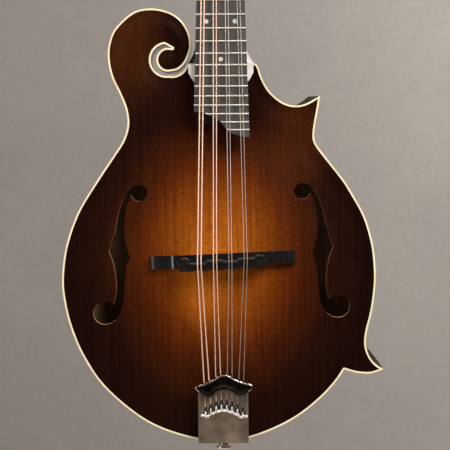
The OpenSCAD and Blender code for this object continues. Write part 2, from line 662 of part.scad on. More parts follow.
plate_back = head_thickness + 1;  // back face of the tuner plate, in the headstock's frame
gear_y = [plate_back + 1.6, plate_back + 4];
gear_mid = (gear_y[0] + gear_y[1]) / 2;
pitch_r = gear_teeth * gear_module / 2;
worm_pitch_r = 2.1;
worm_offset = pitch_r + worm_pitch_r + 0.05;
worm_core_r = 1.5;
worm_tip_r = 2.6;
lead = PI * gear_module;
ear_x = [[12.6, 14.2], [27.8, 29.4]];
ear_r = 3.2;
button_x = 43.5;

// One side's plate, drawn on the +x side.
module tuner_plate() {
    difference() {
        union() {
            slab(head_thickness + play, plate_back) hull() for (z = [29, 36 + 3 * post_spacing + 13])
                translate([21, z]) circle(r = 8.6, $fn = 48);
            for (i = [0:3]) for (e = ear_x) translate([e[0], gear_mid, post_z(i) + worm_offset]) rotate([0, 90, 0]) {
                cylinder(h = e[1] - e[0], r = ear_r);
                translate([-ear_r, -gear_mid + plate_back - 0.5, 0])
                    cube([2 * ear_r, gear_mid - plate_back + 0.5, e[1] - e[0]]);
            }
        }
        for (i = [0:3]) {
            translate([post_x, 0, post_z(i)]) rotate([-90, 0, 0]) cylinder(h = 20, r = post_r + 0.05);
            translate([5, gear_mid, post_z(i) + worm_offset]) rotate([0, 90, 0]) cylinder(h = 40, r = worm_core_r + 0.05);
        }
        for (z = plate_screw_z) translate([post_x, 0, z]) rotate([-90, 0, 0]) cylinder(h = 20, r = 1.2);
    }
}
plate_screw_z = [26.5, 50.8, 73.8, 96.8, 119.6];
module tuner_plate_bass() {
    color(nickel) on_head() mirror([1, 0, 0]) tuner_plate();
}
module tuner_plate_treble() {
    color(nickel) on_head() tuner_plate();
}

module wood_screw(length, head) {
    difference() {
        union() {
            cylinder(h = 0.8, r = head);
            translate([0, 0, -length]) cylinder(h = length + 0.1, r = head / 2);
        }
        translate([-head, -0.25, 0.35]) cube([2 * head, 0.5, 1]);
    }
}
// Plate screws, and the two screws of the truss rod cover.
module tuner_screws() {
    color(nickel) on_head() {
        for (side = [-1, 1]) for (z = plate_screw_z) translate([side * post_x, plate_back + play, z]) rotate([-90, 0, 0])
            wood_screw(0.98, 1.9);
        for (p = cover_screws) translate([p[0], -2 - play, p[1]]) rotate([90, 0, 0]) wood_screw(3.5, 1.4);
    }
}

module post_bushings() {
    color(nickel) on_head() at_posts() difference() {
        union() {
            translate([0, 0, -1.2]) cylinder(h = 1.2 - play, r = 5.4);
            translate([0, 0, -0.5]) cylinder(h = bushing_length, r = bushing_r);
        }
        translate([0, 0, -3]) cylinder(h = 14, r = post_r + 0.05);
    }
}

module gear_shape() {
    tip = pitch_r + 0.5;
    root = pitch_r - 0.75;
    tooth = 360 / gear_teeth;
    polygon([for (k = [0:gear_teeth - 1]) each [
        root * [cos(k * tooth - 6.6), sin(k * tooth - 6.6)], tip * [cos(k * tooth - 1.9), sin(k * tooth - 1.9)],
        tip * [cos(k * tooth + 1.9), sin(k * tooth + 1.9)], root * [cos(k * tooth + 6.6), sin(k * tooth + 6.6)]]]);
}

// String post with the gear on its lower end and the screw that holds the gear.
module tuner_post(i) {
    on_head() translate([post_side(i) * post_x, 0, post_z(i)]) rotate([-90, 0, 0]) {
        color(nickel) difference() {
            union() {
                translate([0, 0, -12.5]) cylinder(h = gear_y[0] + 12.5 - play, r = post_r);
                translate([0, 0, -13.3]) cylinder(h = 0.85, r1 = post_r - 0.7, r2 = post_r);
                translate([0, 0, 10]) cylinder(h = gear_y[1] - 10 - play, r = 2);
            }
            translate([0, 0, -9.5]) rotate([0, 90, 0]) translate([0, 0, -5]) cylinder(h = 10, r = 0.7);
            translate([0, 0, gear_y[1] - 3]) cylinder(h = 4, r = 1.1 + play);
        }
        color(brass) translate([0, 0, gear_y[0]]) difference() {
            linear_extrude(gear_y[1] - gear_y[0]) rotate(90) gear_shape();
            translate([0, 0, -1]) cylinder(h = 5, r = 2 + play);
        }
        color(nickel) difference() {
            union() {
                translate([0, 0, gear_y[1] + play]) cylinder(h = 1.3, r = 2.9);
                translate([0, 0, gear_y[1] - 2.5]) cylinder(h = 3, r = 1.1);
            }
            translate([-4, -0.3, gear_y[1] + 0.7]) cube([8, 0.6, 2]);
        }
    }
}

// A single-start thread ridge about +z, from -length/2 to length/2.
module thread(length) {
    per_turn = 12;
    turns = length / lead;
    count = ceil(turns * per_turn);
    profile = [[worm_core_r - 0.25, -0.52], [worm_tip_r, -0.24], [worm_tip_r, 0.24], [worm_core_r - 0.25, 0.52]];
    points = [for (k = [0:count]) let (a = (k - count / 2) * 360 / per_turn) for (p = profile)
        [p[0] * cos(a), p[0] * sin(a), p[1] + a / 360 * lead]];
    sides = [for (k = [0:count - 1]) for (j = [0:3]) let (n = (j + 1) % 4, a = 4 * k)
        each [[a + j, a + n, a + 4 + n], [a + j, a + 4 + n, a + 4 + j]]];
    ends = [[3, 2, 1, 0], [4 * count, 4 * count + 1, 4 * count + 2, 4 * count + 3]];
    polyhedron(points = points, faces = concat(sides, ends));
}

module tuner_worm(i) {
    side = post_side(i);
    color(nickel) on_head() translate([0, gear_mid, post_z(i) + worm_offset]) rotate([0, side * 90, 0]) {
        translate([0, 0, 11.8]) cylinder(h = button_x + 8 - 11.8, r = worm_core_r);
        translate([0, 0, 14.3]) cylinder(h = 1.6, r = worm_tip_r);
        translate([0, 0, 26.1]) cylinder(h = 1.6, r = worm_tip_r);
        translate([0, 0, button_x - 2.6]) cylinder(h = 2.5, r = 2.4);
        translate([0, 0, post_x]) rotate([0, 0, 90 - 90 * side]) thread(8.6);
    }
}

module tuner_button(i) {
    side = post_side(i);
    color(ivory) on_head() translate([0, gear_mid, post_z(i) + worm_offset]) rotate([0, side * 90, 0])
        difference() {
            hull() {
                translate([0, 0, button_x]) cylinder(h = 1, r = 3, $fn = 32);
                translate([-3.2, 0, button_x + 7]) sphere(r = 3.6, $fn = 24);
                translate([3.2, 0, button_x + 7]) sphere(r = 3.6, $fn = 24);
                translate([0, 0, button_x + 10]) sphere(r = 3.4, $fn = 24);
            }
            translate([0, 0, button_x - 1]) cylinder(h = 9.1, r = worm_core_r + play);
        }
}

// ---- which nodes to draw ----

top_plate();
back_plate();
rib(0);  // rib_bass
rib(1);  // rib_cove
rib(2);  // rib_waist
rib(3);  // rib_tail
linings();
head_block();
tail_block();
point_blocks();
tone_bars();
top_binding();
point_protectors();
neck();
truss_rod();
truss_rod_cover();
fretboard();
frets();
position_dots();
nut();
headstock_overlay();
bridge_base();
bridge_studs();
bridge_saddle();
thumbwheel(-1);  // thumbwheel_bass
thumbwheel(1);  // thumbwheel_treble
tailpiece();
tailpiece_screws();
end_pin();
tuner_plate_bass();
tuner_plate_treble();
tuner_screws();
post_bushings();
strings_wound();
strings_plain();
for (i = [0:7]) {
    tuner_post(i);
    tuner_worm(i);
    tuner_button(i);
}
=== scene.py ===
import math

import bpy
import numpy as np
from mathutils import Matrix, Vector, geometry


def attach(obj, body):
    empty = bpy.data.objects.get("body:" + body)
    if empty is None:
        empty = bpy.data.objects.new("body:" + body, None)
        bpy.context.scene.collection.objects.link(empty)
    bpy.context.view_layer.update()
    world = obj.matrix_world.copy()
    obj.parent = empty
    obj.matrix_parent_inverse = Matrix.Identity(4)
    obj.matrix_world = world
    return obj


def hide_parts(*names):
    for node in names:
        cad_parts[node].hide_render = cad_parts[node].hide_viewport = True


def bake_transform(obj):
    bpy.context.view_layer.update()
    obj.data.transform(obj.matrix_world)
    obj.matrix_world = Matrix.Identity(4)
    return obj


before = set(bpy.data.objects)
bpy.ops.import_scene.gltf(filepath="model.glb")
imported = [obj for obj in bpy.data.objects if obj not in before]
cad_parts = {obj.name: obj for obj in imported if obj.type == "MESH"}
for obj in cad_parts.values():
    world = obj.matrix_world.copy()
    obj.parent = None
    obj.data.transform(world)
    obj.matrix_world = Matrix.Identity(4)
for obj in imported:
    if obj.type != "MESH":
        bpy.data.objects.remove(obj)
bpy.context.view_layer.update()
mm = 0.001


# small tools

def clearSelection():
    if bpy.context.object and bpy.context.object.mode != "OBJECT":
        bpy.ops.object.mode_set(mode="OBJECT")
    bpy.ops.object.select_all(action="DESELECT")


def pick(piece):
    clearSelection()
    piece.select_set(True)
    bpy.context.view_layer.objects.active = piece


def settle(piece):
    # the place goes into the mesh, as on the CAD nodes
    pick(piece)
    bpy.ops.object.transform_apply(location=True, rotation=True, scale=True)


def applyAll(piece):
    pick(piece)
    for modifier in list(piece.modifiers):
        bpy.ops.object.modifier_apply(modifier=modifier.name)


def soften(piece, degrees=35):
    pick(piece)
    bpy.ops.object.shade_smooth_by_angle(angle=math.radians(degrees))


def roundEdges(piece, width, segments=2, degrees=40):
    bevel = piece.modifiers.new("bevel", "BEVEL")
    bevel.width = width
    bevel.segments = segments
    bevel.limit_method = "ANGLE"
    bevel.angle_limit = math.radians(degrees)
    bevel.use_clamp_overlap = True
    applyAll(piece)


def evenShading(piece):
    # large flats stay flat beside their rounded edges
    weighted = piece.modifiers.new("even", "WEIGHTED_NORMAL")
    weighted.keep_sharp = True
    applyAll(piece)


def fixNormals(piece):
    pick(piece)
    bpy.ops.object.mode_set(mode="EDIT")
    bpy.ops.mesh.select_all(action="SELECT")
    bpy.ops.mesh.normals_make_consistent(inside=False)
    bpy.ops.object.mode_set(mode="OBJECT")


def newPiece(name, points, faces):
    mesh = bpy.data.meshes.new(name)
    mesh.from_pydata([tuple(p) for p in points], [], faces)
    mesh.update()
    piece = bpy.data.objects.new(name, mesh)
    bpy.context.collection.objects.link(piece)
    return piece


def dress(piece, material, body, slotName, *nodes):
    piece.data.materials.clear()
    piece.data.materials.append(material)
    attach(piece, body)
    if nodes:
        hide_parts(*nodes)
    return piece


weld = {"gap": 0.000004, "flatWithin": 0.6}     # metres, degrees


def weldedCopy(node, name, material, body, slotName, bevel=0.0, degrees=35, segments=2):
    # a CAD piece with its triangles merged, its edges rounded and its curves shaded smooth
    piece = bpy.data.objects.new(name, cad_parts[node].data.copy())
    bpy.context.collection.objects.link(piece)
    pick(piece)
    bpy.ops.object.mode_set(mode="EDIT")
    bpy.ops.mesh.select_all(action="SELECT")
    bpy.ops.mesh.remove_doubles(threshold=weld["gap"])
    bpy.ops.mesh.dissolve_limited(angle_limit=math.radians(weld["flatWithin"]))
    bpy.ops.object.mode_set(mode="OBJECT")
    if bevel:
        roundEdges(piece, bevel, segments)
    soften(piece, degrees)
    evenShading(piece)
    return dress(piece, material, body, slotName, node)


def joinAll(pieces, name):
    clearSelection()
    for piece in pieces:
        piece.select_set(True)
    bpy.context.view_layer.objects.active = pieces[0]
    if len(pieces) > 1:
        bpy.ops.object.join()
    joined = bpy.context.object
    joined.name = name
    return joined


# materials

def startMaterial(name):
    material = bpy.data.materials.new(name)
    material.use_nodes = True
    return material, material.node_tree, material.node_tree.nodes["Principled BSDF"]


def addNode(tree, kind, settings=None, **inputs):
    node = tree.nodes.new(kind)
    for key, value in (settings or {}).items():
        setattr(node, key, value)
    for key, value in inputs.items():
        numbered = key[0] == "i" and key[1:].isdigit()
        socket = node.inputs[int(key[1:]) if numbered else key.replace("_", " ")]
        if isinstance(value, bpy.types.NodeSocket):
            tree.links.new(value, socket)
        else:
            socket.default_value = value
    return node


def ramp(tree, factor, stops):
    node = addNode(tree, "ShaderNodeValToRGB", None, i0=factor)
    bands = node.color_ramp.elements
    while len(bands) < len(stops):
        bands.new(0.5)
    for band, (place, colour) in zip(bands, stops):
        band.position = place
        band.color = (*[linear(c) for c in colour], 1)
    return node.outputs[0]


def linear(level):
    level = level / 255
    return level / 12.92 if level <= 0.04045 else ((level + 0.055) / 1.055) ** 2.4


def tone(red, green, blue):
    return (linear(red), linear(green), linear(blue), 1)


def maths(tree, operation, a, b=0.0, c=0.0):
    return addNode(tree, "ShaderNodeMath", {"operation": operation}, i0=a, i1=b, i2=c).outputs[0]


def mixTones(tree, factor, a, b, blendType="MIX"):
    node = tree.nodes.new("ShaderNodeMix")
    node.data_type = "RGBA"
    node.blend_type = blendType
    for index, value in ((0, factor), (6, a), (7, b)):
        if isinstance(value, bpy.types.NodeSocket):
            tree.links.new(value, node.inputs[index])
        else:
            node.inputs[index].default_value = value
    return node.outputs[2]


def placed(tree, scale, location=(0, 0, 0)):
    coords = addNode(tree, "ShaderNodeTexCoord").outputs["Object"]
    return addNode(tree, "ShaderNodeMapping", None, Vector=coords, Location=location,
                   Scale=scale).outputs[0]


def noise(tree, vector, scale, detail=3.0, roughness=0.55):
    return addNode(tree, "ShaderNodeTexNoise", None, Vector=vector, Scale=scale, Detail=detail,
                   Roughness=roughness).outputs[0]


def bump(tree, shader, height, strength, distance=0.0002):
    node = addNode(tree, "ShaderNodeBump", None, Height=height, Strength=strength, Distance=distance)
    tree.links.new(node.outputs[0], shader.inputs["Normal"])


def setRoughness(tree, shader, vector, low, high, scale=60.0):
    uneven = noise(tree, vector, scale, 4)
    value = addNode(tree, "ShaderNodeMapRange", None, Value=uneven, From_Min=0.3, From_Max=0.7,
                    To_Min=low, To_Max=high).outputs[0]
    tree.links.new(value, shader.inputs["Roughness"])


sunburst = {
    "centre": (-0.004, 0.1470), "reach": (0.063, 0.083),
    "stops": [(0.0, (216, 124, 34)), (0.12, (192, 106, 27)), (0.27, (152, 77, 19)), (0.36, (125, 60, 16)),
              (0.44, (99, 43, 12)), (0.53, (74, 31, 11)), (0.7, (41, 17, 10)), (0.9, (27, 11, 9))],
    # painted sheen and painted highlight: centre, reach and colour of each lighter patch
    "sheenPatches": [((-0.076, 0.314), (0.036, 0.062), (84, 41, 18)),
              ((0.058, 0.238), (0.028, 0.042), (84, 41, 18)),
              ((-0.015, 0.128), (0.02, 0.034), (232, 132, 36))]}


def sunburstWood():
    # amber in the middle, nearly black at the edge, under fine straight spruce grain, with painted sheen on
    # the scroll and treble shoulder and a painted highlight below the board
    material, tree, shader = startMaterial("sunburst spruce")
    cx, cz = sunburst["centre"]
    rx, rz = sunburst["reach"]
    place = placed(tree, (1 / rx, 0, 1 / rz), (-cx / rx, 0, -cz / rz))
    away = addNode(tree, "ShaderNodeVectorMath", {"operation": "LENGTH"}, i0=place).outputs["Value"]
    cloud = noise(tree, placed(tree, (1, 1, 1)), 14, 2)
    away = maths(tree, "MULTIPLY_ADD", cloud, 0.22, away)
    away = maths(tree, "MULTIPLY", maths(tree, "SUBTRACT", away, 0.11), 0.5)
    stain = ramp(tree, away, sunburst["stops"])
    # painted sheen: lighter patches mixed over the stain, the last one a bright amber painted highlight
    for (sx, sz), (gx, gz), colour in sunburst["sheenPatches"]:
        sheenPlace = placed(tree, (1 / gx, 0, 1 / gz), (-sx / gx, 0, -sz / gz))
        glow = addNode(tree, "ShaderNodeVectorMath", {"operation": "LENGTH"},
                       i0=sheenPlace).outputs["Value"]
        glow = addNode(tree, "ShaderNodeMapRange", {"interpolation_type": "SMOOTHSTEP"}, Value=glow,
                       From_Min=0.2, From_Max=1.25, To_Min=0.62, To_Max=0.0).outputs[0]
        stain = mixTones(tree, glow, stain, tone(*colour))
    grain = noise(tree, placed(tree, (1, 0.2, 0.012)), 620, 4, 0.6)
    wide = noise(tree, placed(tree, (1, 0.2, 0.02)), 130, 2)
    silk = noise(tree, placed(tree, (0.4, 1, 1)), 1100, 4, 0.65)
    lines = ramp(tree, grain, [(0.32, (172, 160, 150)), (0.5, (232, 228, 224)), (0.66, (255, 253, 250))])
    shades = ramp(tree, wide, [(0.3, (222, 216, 210)), (0.7, (255, 255, 255))])
    flecks = ramp(tree, silk, [(0.36, (178, 166, 156)), (0.6, (255, 255, 255))])
    stain = mixTones(tree, 0.7, stain, lines, "MULTIPLY")
    stain = mixTones(tree, 0.35, stain, shades, "MULTIPLY")
    stain = mixTones(tree, 0.7, stain, flecks, "MULTIPLY")
    tree.links.new(stain, shader.inputs["Base Color"])
    setRoughness(tree, shader, placed(tree, (1, 1, 1)), 0.3, 0.42, 45)
    shader.inputs["Specular IOR Level"].default_value = 0.1
    shader.inputs["Specular Tint"].default_value = tone(255, 196, 150)
    bump(tree, shader, grain, 0.12, 0.00008)
    return material


def paleWood(name, dark, light, scale=(1, 1, 0.05), roughness=(0.55, 0.7)):
    material, tree, shader = startMaterial(name)
    grain = noise(tree, placed(tree, scale), 420, 4)
    tree.links.new(ramp(tree, grain, [(0.3, dark), (0.7, light)]), shader.inputs["Base Color"])
    setRoughness(tree, shader, placed(tree, (1, 1, 1)), *roughness)
    bump(tree, shader, grain, 0.25)
    return material


def flamedMaple(name, centre, reach, amber, dark):
    # dark stain with cross stripes that catch the light, an amber glow where centre and reach say
    material, tree, shader = startMaterial(name)
    stretch = tuple(1 / r if r else 0 for r in reach)
    place = placed(tree, stretch, tuple(-c * k for c, k in zip(centre, stretch)))
    away = addNode(tree, "ShaderNodeVectorMath", {"operation": "LENGTH"}, i0=place).outputs["Value"]
    away = maths(tree, "MULTIPLY_ADD", noise(tree, placed(tree, (1, 1, 1)), 11, 2), 0.25, away)
    away = maths(tree, "SUBTRACT", away, 0.12)
    middle = tuple((a + 2 * b) / 3 for a, b in zip(amber, dark))
    stain = ramp(tree, away, [(0.0, amber), (0.55, middle), (1.0, dark)])
    flame = addNode(tree, "ShaderNodeTexWave", {"bands_direction": "Z", "wave_profile": "SIN"},
                    Vector=placed(tree, (1, 1, 1)), Scale=42.0, Distortion=5.5, Detail=3.0,
                    Detail_Scale=1.6).outputs[1]
    bands = ramp(tree, flame, [(0.15, (176, 168, 160)), (0.55, (226, 222, 216)), (0.9, (255, 255, 255))])
    pores = noise(tree, placed(tree, (1, 1, 0.03)), 700, 4)
    fine = ramp(tree, pores, [(0.3, (205, 198, 192)), (0.65, (255, 255, 255))])
    stain = mixTones(tree, 0.75, stain, bands, "MULTIPLY")
    stain = mixTones(tree, 0.7, stain, fine, "MULTIPLY")
    tree.links.new(stain, shader.inputs["Base Color"])
    setRoughness(tree, shader, placed(tree, (1, 1, 1)), 0.22, 0.32, 40)
    shader.inputs["Coat Weight"].default_value = 0.4
    shader.inputs["Coat Roughness"].default_value = 0.1
    bump(tree, shader, pores, 0.06, 0.00006)
    return material


def plainFinish(name, dark, light, scale, roughness, metallic=0.0, stretch=(1, 1, 1), bumpStrength=0.05,
                coat=0.0):
    # one mottled colour with its own grain, bump and uneven sheen
    material, tree, shader = startMaterial(name)
    pattern = noise(tree, placed(tree, stretch), scale, 4)
    tree.links.new(ramp(tree, pattern, [(0.3, dark), (0.7, light)]), shader.inputs["Base Color"])
    shader.inputs["Metallic"].default_value = metallic
    shader.inputs["Coat Weight"].default_value = coat
    shader.inputs["Coat Roughness"].default_value = 0.08
    setRoughness(tree, shader, placed(tree, stretch), *roughness, scale)
    bump(tree, shader, pattern, bumpStrength, 0.0001)
    return material


def woundWire():
    material, tree, shader = startMaterial("bronze winding")
    turns = addNode(tree, "ShaderNodeTexWave", {"bands_direction": "Z", "wave_profile": "SIN"},
                    Vector=placed(tree, (1, 1, 1)), Scale=900.0, Distortion=0.0).outputs[1]
    tree.links.new(ramp(tree, turns, [(0.1, (206, 152, 122)), (0.6, (255, 222, 200))]),
                   shader.inputs["Base Color"])
    shader.inputs["Metallic"].default_value = 0.45
    setRoughness(tree, shader, placed(tree, (1, 1, 1)), 0.38, 0.5, 200)
    bump(tree, shader, turns, 0.5, 0.0001)
    return material


def wallPaper(name, stops, reach):
    material, tree, shader = startMaterial(name)
    soft = noise(tree, placed(tree, (1, 1, 1)), 2.5, 3)
    fibre = noise(tree, placed(tree, (1, 1, 1)), 85, 5, 0.7)
    base = ramp(tree, soft, stops)
    specks = ramp(tree, fibre, [(0.25, (226, 226, 226)), (0.75, (255, 255, 255))])
    tree.links.new(mixTones(tree, reach, base, specks, "MULTIPLY"), shader.inputs["Base Color"])
    shader.inputs["Roughness"].default_value = 0.9
    shader.inputs["Specular IOR Level"].default_value = 0.15
    bump(tree, shader, fibre, 0.2, 0.0005)
    return material


spruceFinish = sunburstWood()
backFinish = flamedMaple("dark maple back", (0, 0, 0.15), (0.085, 0, 0.105), (168, 88, 28), (30, 14, 9))
ribFinish = flamedMaple("dark maple ribs", (0, 0, 0.15), (0.3, 0.03, 0.3), (92, 42, 18), (34, 15, 10))
neckFinish = flamedMaple("dark maple neck", (0, 0, 0.40), (0.2, 0.2, 0.085), (150, 78, 28), (30, 13, 8))
insideFinish = paleWood("inside wood", (138, 98, 66), (182, 138, 98))
edgeFinish = paleWood("cut spruce edge", (146, 104, 74), (196, 152, 116))
bindingFinish = plainFinish("ivory binding", (232, 212, 166), (250, 234, 196), 160, (0.3, 0.42), coat=0.2,
                            bumpStrength=0.03)
boneFinish = plainFinish("nut bone", (206, 192, 160), (232, 222, 196), 300, (0.35, 0.5))
ebonyFinish = plainFinish("ebony fretboard", (46, 43, 40), (68, 64, 58), 500, (0.42, 0.56),
                          stretch=(1, 1, 0.04), bumpStrength=0.12)
bridgeFinish = plainFinish("ebony bridge", (13, 11, 11), (30, 25, 23), 640, (0.16, 0.26),
                           stretch=(0.2, 1, 1), bumpStrength=0.04, coat=0.3)
blackGloss = plainFinish("black lacquer", (14, 12, 12), (24, 21, 20), 90, (0.16, 0.26), coat=0.5,
                         bumpStrength=0.02)
capFinish = plainFinish("point caps", (36, 32, 32), (58, 52, 52), 200, (0.28, 0.4), bumpStrength=0.03)
# painted shade: darkened nickel for the crown's dome
crownShadedNickel = plainFinish("crown nickel in painted shade", (66, 62, 58), (92, 86, 80), 70, (0.1, 0.2), 1.0,
                          bumpStrength=0.02)
# nickel with a painted highlight: near-white, partly metallic, for the hooks and beads
hookNickelGlint = plainFinish("hook nickel with painted highlight", (214, 206, 196), (252, 248, 242), 160, (0.16, 0.26), 0.55,
                         bumpStrength=0.03)
# painted shade for the tailpiece slots
slotShade = plainFinish("shadowed slot", (16, 14, 13), (30, 27, 25), 260, (0.5, 0.65), bumpStrength=0.08)
# painted reflection: near-white colour for the glossy neck shoulders
paintedGlare = plainFinish("painted shoulder glare", (196, 186, 180), (232, 224, 216), 40, (0.12, 0.2), coat=0.6,
                          bumpStrength=0.02)
pearlFinish = plainFinish("pearl", (176, 174, 168), (214, 212, 208), 260, (0.25, 0.4), bumpStrength=0.02,
                          coat=0.3)
buttonFinish = plainFinish("cream button", (214, 200, 164), (238, 228, 202), 60, (0.18, 0.28), coat=0.4,
                           bumpStrength=0.02)
satinNickel = plainFinish("satin nickel", (150, 132, 114), (172, 154, 136), 90, (0.38, 0.5), 1.0,
                          bumpStrength=0.05)
brightNickel = plainFinish("polished nickel", (196, 186, 174), (222, 214, 204), 70, (0.1, 0.18), 1.0,
                           bumpStrength=0.02)
fretNickel = plainFinish("fret wire", (216, 206, 190), (244, 236, 224), 200, (0.26, 0.38), 0.9,
                         bumpStrength=0.03)
steelFinish = plainFinish("plain steel", (150, 146, 142), (190, 186, 182), 200, (0.28, 0.4), 1.0,
                          bumpStrength=0.04)
wheelFinish = plainFinish("thumbwheel nickel", (176, 150, 124), (216, 192, 168), 240, (0.2, 0.32), 1.0,
                          bumpStrength=0.05)
wireFinish = plainFinish("plain wire", (196, 180, 168), (226, 214, 204), 300, (0.26, 0.36), 0.75,
                         stretch=(1, 1, 0.02), bumpStrength=0.02)
windingFinish = woundWire()
print("materials ready")


# the body's outline, the same knots as the CAD

bodyLine = {
    "bass": [[0, 5], [-25, 6.7], [-59, 19.5], [-90.5, 45], [-108, 70], [-118.6, 95.5], [-123.6, 119],
             [-124, 136], [-120.6, 158], [-111.5, 183], [-96.5, 207.5], [-84, 226], [-76, 238.5],
             [-72.5, 250.5], [-73.8, 262.5], [-78.5, 274.8], [-84.2, 287], [-87, 300], [-86.5, 312],
             [-81.3, 324.7], [-67.5, 337], [-53.5, 339.9], [-39.5, 337], [-30.2, 330.4], [-24.6, 321],
             [-23.1, 311.5], [-24.6, 304.5], [-28, 297.6], [-33.5, 292.8], [-40.6, 291.3]],
    "eye": ((-40.6, 300.4), 9.1), "gap": ((-41.8, 300.3), 12.5), "cusp": (-37.3, 309.2),
    "shoulder": [[-38.3, 287.5], [-33.6, 288.4], [-28.8, 291.6], [-25.5, 297]],
    "cove": [[27, 297], [28.9, 294], [31.2, 287], [34, 281], [38, 275], [44.6, 269], [50.7, 265.7],
             [57, 264.4], [63.4, 265.2], [68.6, 267.4], [76.5, 272]],
    "waist": [[76.5, 272], [74.8, 261.4], [73, 252], [71.8, 243.5], [72.2, 237.3], [75.4, 231.3],
              [84.9, 219], [94.6, 206.4], [102.3, 193.9], [109.2, 181.3], [113.8, 168.8], [117.4, 153],
              [118.9, 134], [118, 118.5], [115.6, 103.5], [112.2, 90], [111, 81.5], [111.7, 75.4],
              [114, 69.3], [118.4, 63.6], [124.6, 59.3]],
    "beak": [[124.6, 59.3], [115.4, 56.4], [108.2, 56.3], [101.5, 57.4], [94.2, 59.6]],
    "tail": [[94.2, 59.6], [87.6, 50], [76, 37.6], [60, 24.6], [42, 14.6], [20, 6.7], [0, 5]],
    "rim": 18.0, "edge": 4.5, "binding": 1.3}


def smoothRun(knots, steps):
    # a smooth run through the knots, without its last point
    p = [np.array(k, float) for k in knots]
    p = [2 * p[0] - p[1]] + p + [2 * p[-1] - p[-2]]
    run = []
    for i in range(1, len(p) - 2):
        a, b, c, d = p[i - 1:i + 3]
        for k in range(steps):
            t = k / steps
            run.append(0.5 * (2 * b + (c - a) * t + (2 * a - 5 * b + 4 * c - d) * t * t
                              + (3 * b - a - 3 * c + d) * t ** 3))
    return run


def arcRun(centre, radius, start, stop, steps):
    turns = np.radians(np.linspace(start, stop, steps + 1))
    return [np.array(centre) + radius * np.array([math.cos(a), math.sin(a)]) for a in turns]


def outlinePoints(steps=9):
    b = bodyLine
    line = smoothRun(b["bass"], steps) + arcRun(*b["eye"], -90, -288, 44) + [np.array(b["cusp"])]
    line += arcRun(*b["gap"], 97, 285, 48) + smoothRun(b["shoulder"], steps)
    for part in ("cove", "waist", "beak", "tail"):
        line += smoothRun(b[part], steps)
    return np.array(line)


def denser(line, step):
    out = []
    for a, b in zip(line, np.roll(line, -1, axis=0)):
        count = max(1, int(math.ceil(np.linalg.norm(b - a) / step)))
        out += [a + (b - a) * k / count for k in range(count)]
    return np.array(out)


def distanceTo(line, points):
    # distance of each point from the closed line
    a = line
    ab = np.roll(line, -1, axis=0) - line
    length = (ab ** 2).sum(1) + 1e-12
    best = np.empty(len(points))
    for start in range(0, len(points), 500):
        p = points[start:start + 500, None, :]
        t = np.clip(((p - a) * ab).sum(2) / length, 0, 1)
        best[start:start + 500] = np.sqrt((((p - a) - t[..., None] * ab) ** 2).sum(2).min(1))
    return best


def insideOf(line, points):
    x, y = points[:, 0], points[:, 1]
    found = np.zeros(len(points), bool)
    for (x1, y1), (x2, y2) in zip(line, np.roll(line, -1, axis=0)):
        if y1 == y2:
            continue
        crosses = (y1 > y) != (y2 > y)
        found ^= crosses & (x < (x2 - x1) * (y - y1) / (y2 - y1) + x1)
    return found


def insetLine(line, depth):
    # the line moved inwards; crossings at sharp tips are dropped
    dense = denser(line, 0.6)
    area = 0.5 * np.sum(dense[:, 0] * np.roll(dense[:, 1], -1) - np.roll(dense[:, 0], -1) * dense[:, 1])
    side = 1 if area > 0 else -1
    edge = np.roll(dense, -1, axis=0) - dense
    edge /= np.linalg.norm(edge, axis=1)[:, None]
    normal = side * np.stack([-edge[:, 1], edge[:, 0]], 1)
    moved = []
    for i in range(len(dense)):
        before, after = normal[i - 1], normal[i]
        bend = math.acos(max(-1, min(1, float(before @ after))))
        fan = 1 + int(bend / math.radians(12))
        for k in range(fan + 1):
            n = before + (after - before) * k / fan
            moved.append(dense[i] + depth * n / np.linalg.norm(n))
    moved = np.array(moved)
    moved = moved[distanceTo(dense, moved) > depth - 0.012]
    kept = [moved[0]]
    for p in moved[1:]:
        if np.linalg.norm(p - kept[-1]) > 0.35:
            kept.append(p)
    return np.array(kept)


def fillSheet(loops, spacing, margin=0.8):
    # triangles that fill between the loops: the first is the outside, the others are holes
    points, edges = [], []
    for loop in loops:
        first = len(points)
        points += [tuple(p) for p in loop]
        edges += [(first + k, first + (k + 1) % len(loop)) for k in range(len(loop))]
    if spacing:
        low, high = loops[0].min(0), loops[0].max(0)
        grid, row, y = [], 0, low[1]
        while y < high[1]:
            x = low[0] + (spacing / 2 if row % 2 else 0)
            while x < high[0]:
                grid.append((x, y))
                x += spacing
            y += spacing * 0.866
            row += 1
        grid = np.array(grid)
        grid = grid[insideOf(loops[0], grid)]
        for hole in loops[1:]:
            grid = grid[~insideOf(hole, grid)]
        for loop in loops:
            grid = grid[distanceTo(loop, grid) > margin]
        points += [tuple(p) for p in grid]
    found = geometry.delaunay_2d_cdt([Vector(p) for p in points], edges, [], 1, 1e-5)
    flat = np.array([list(v) for v in found[0]])
    triangles = [list(t) for t in found[2]]
    centres = np.array([flat[t].mean(0) for t in triangles])
    keep = insideOf(loops[0], centres)
    for hole in loops[1:]:
        keep &= ~insideOf(hole, centres)
    return flat, [t for t, k in zip(triangles, keep) if k]


